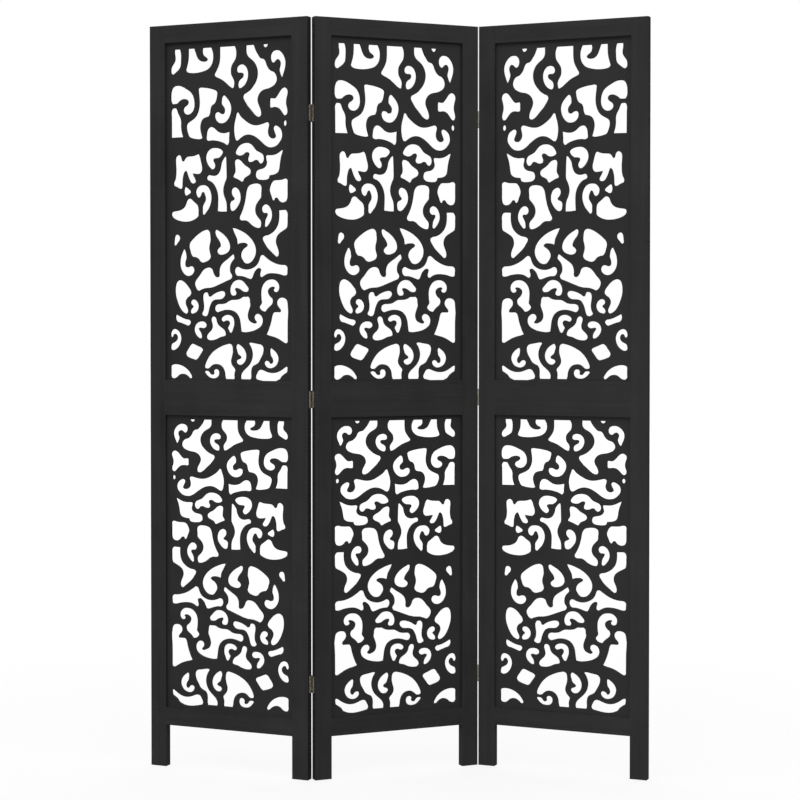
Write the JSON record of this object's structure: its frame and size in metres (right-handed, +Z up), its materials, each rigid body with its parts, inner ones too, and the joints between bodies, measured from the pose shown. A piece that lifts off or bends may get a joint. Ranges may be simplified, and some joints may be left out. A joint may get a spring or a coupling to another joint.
{
  "type": "folding room screen",
  "caption": "Free-standing folding screen with hinged wooden panels, each holding fretwork boards with a scroll pattern in grooved frames on short legs.",
  "frame": {"origin": "on the floor, under the middle of the middle panel, which is also the centre of the standing zigzag", "axes": "+Z up, +X across the screen from the left panel to the right panel, -Y towards the front"},
  "size_m": [1.131, 0.1738, 1.7],
  "materials": {
    "painted_wood": "satin black paint over faint wood grain",
    "painted_board": "satin black paint on smooth cut board",
    "dowel_wood": "plain beech dowel",
    "hinge_brass": "pale antique brass, rubbed bright at the edges, darker between the leaves"
  },
  "bodies": {
    "middle_panel": {"middle_upper_left_stile": "painted_wood", "middle_upper_right_stile": "painted_wood", "middle_lower_left_stile": "painted_wood", "middle_lower_right_stile": "painted_wood", "middle_top_rail": "painted_wood", "middle_upper_bottom_rail": "painted_wood", "middle_lower_top_rail": "painted_wood", "middle_bottom_rail": "painted_wood", "middle_upper_fretwork": "painted_board", "middle_lower_fretwork": "painted_board", "middle_rail_dowels": "dowel_wood", "middle_joint_dowels": "dowel_wood", "middle_hinge_screws": "hinge_brass", "left_hinge_bottom_inner_leaf": "hinge_brass", "left_hinge_bottom_pin": "hinge_brass", "left_hinge_middle_inner_leaf": "hinge_brass", "left_hinge_middle_pin": "hinge_brass", "left_hinge_top_inner_leaf": "hinge_brass", "left_hinge_top_pin": "hinge_brass", "right_hinge_bottom_inner_leaf": "hinge_brass", "right_hinge_bottom_pin": "hinge_brass", "right_hinge_middle_inner_leaf": "hinge_brass", "right_hinge_middle_pin": "hinge_brass", "right_hinge_top_inner_leaf": "hinge_brass", "right_hinge_top_pin": "hinge_brass"},
    "left_panel": {"left_upper_left_stile": "painted_wood", "left_upper_right_stile": "painted_wood", "left_lower_left_stile": "painted_wood", "left_lower_right_stile": "painted_wood", "left_top_rail": "painted_wood", "left_upper_bottom_rail": "painted_wood", "left_lower_top_rail": "painted_wood", "left_bottom_rail": "painted_wood", "left_upper_fretwork": "painted_board", "left_lower_fretwork": "painted_board", "left_rail_dowels": "dowel_wood", "left_joint_dowels": "dowel_wood", "left_hinge_screws": "hinge_brass", "left_hinge_bottom_outer_leaf": "hinge_brass", "left_hinge_middle_outer_leaf": "hinge_brass", "left_hinge_top_outer_leaf": "hinge_brass"},
    "right_panel": {"right_upper_left_stile": "painted_wood", "right_upper_right_stile": "painted_wood", "right_lower_left_stile": "painted_wood", "right_lower_right_stile": "painted_wood", "right_top_rail": "painted_wood", "right_upper_bottom_rail": "painted_wood", "right_lower_top_rail": "painted_wood", "right_bottom_rail": "painted_wood", "right_upper_fretwork": "painted_board", "right_lower_fretwork": "painted_board", "right_rail_dowels": "dowel_wood", "right_joint_dowels": "dowel_wood", "right_hinge_screws": "hinge_brass", "right_hinge_bottom_outer_leaf": "hinge_brass", "right_hinge_middle_outer_leaf": "hinge_brass", "right_hinge_top_outer_leaf": "hinge_brass"}
  },
  "joints": [
    {"name": "left_fold", "type": "hinge", "parent": "middle_panel", "child": "left_panel", "pos_m": [-0.18883, -0.06918, 0.85], "axis": [0, 0, 1], "range_deg": [-134, 46]},
    {"name": "right_fold", "type": "hinge", "parent": "middle_panel", "child": "right_panel", "pos_m": [0.18883, 0.06918, 0.85], "axis": [0, 0, 1], "range_deg": [-134, 46]}
  ]
}
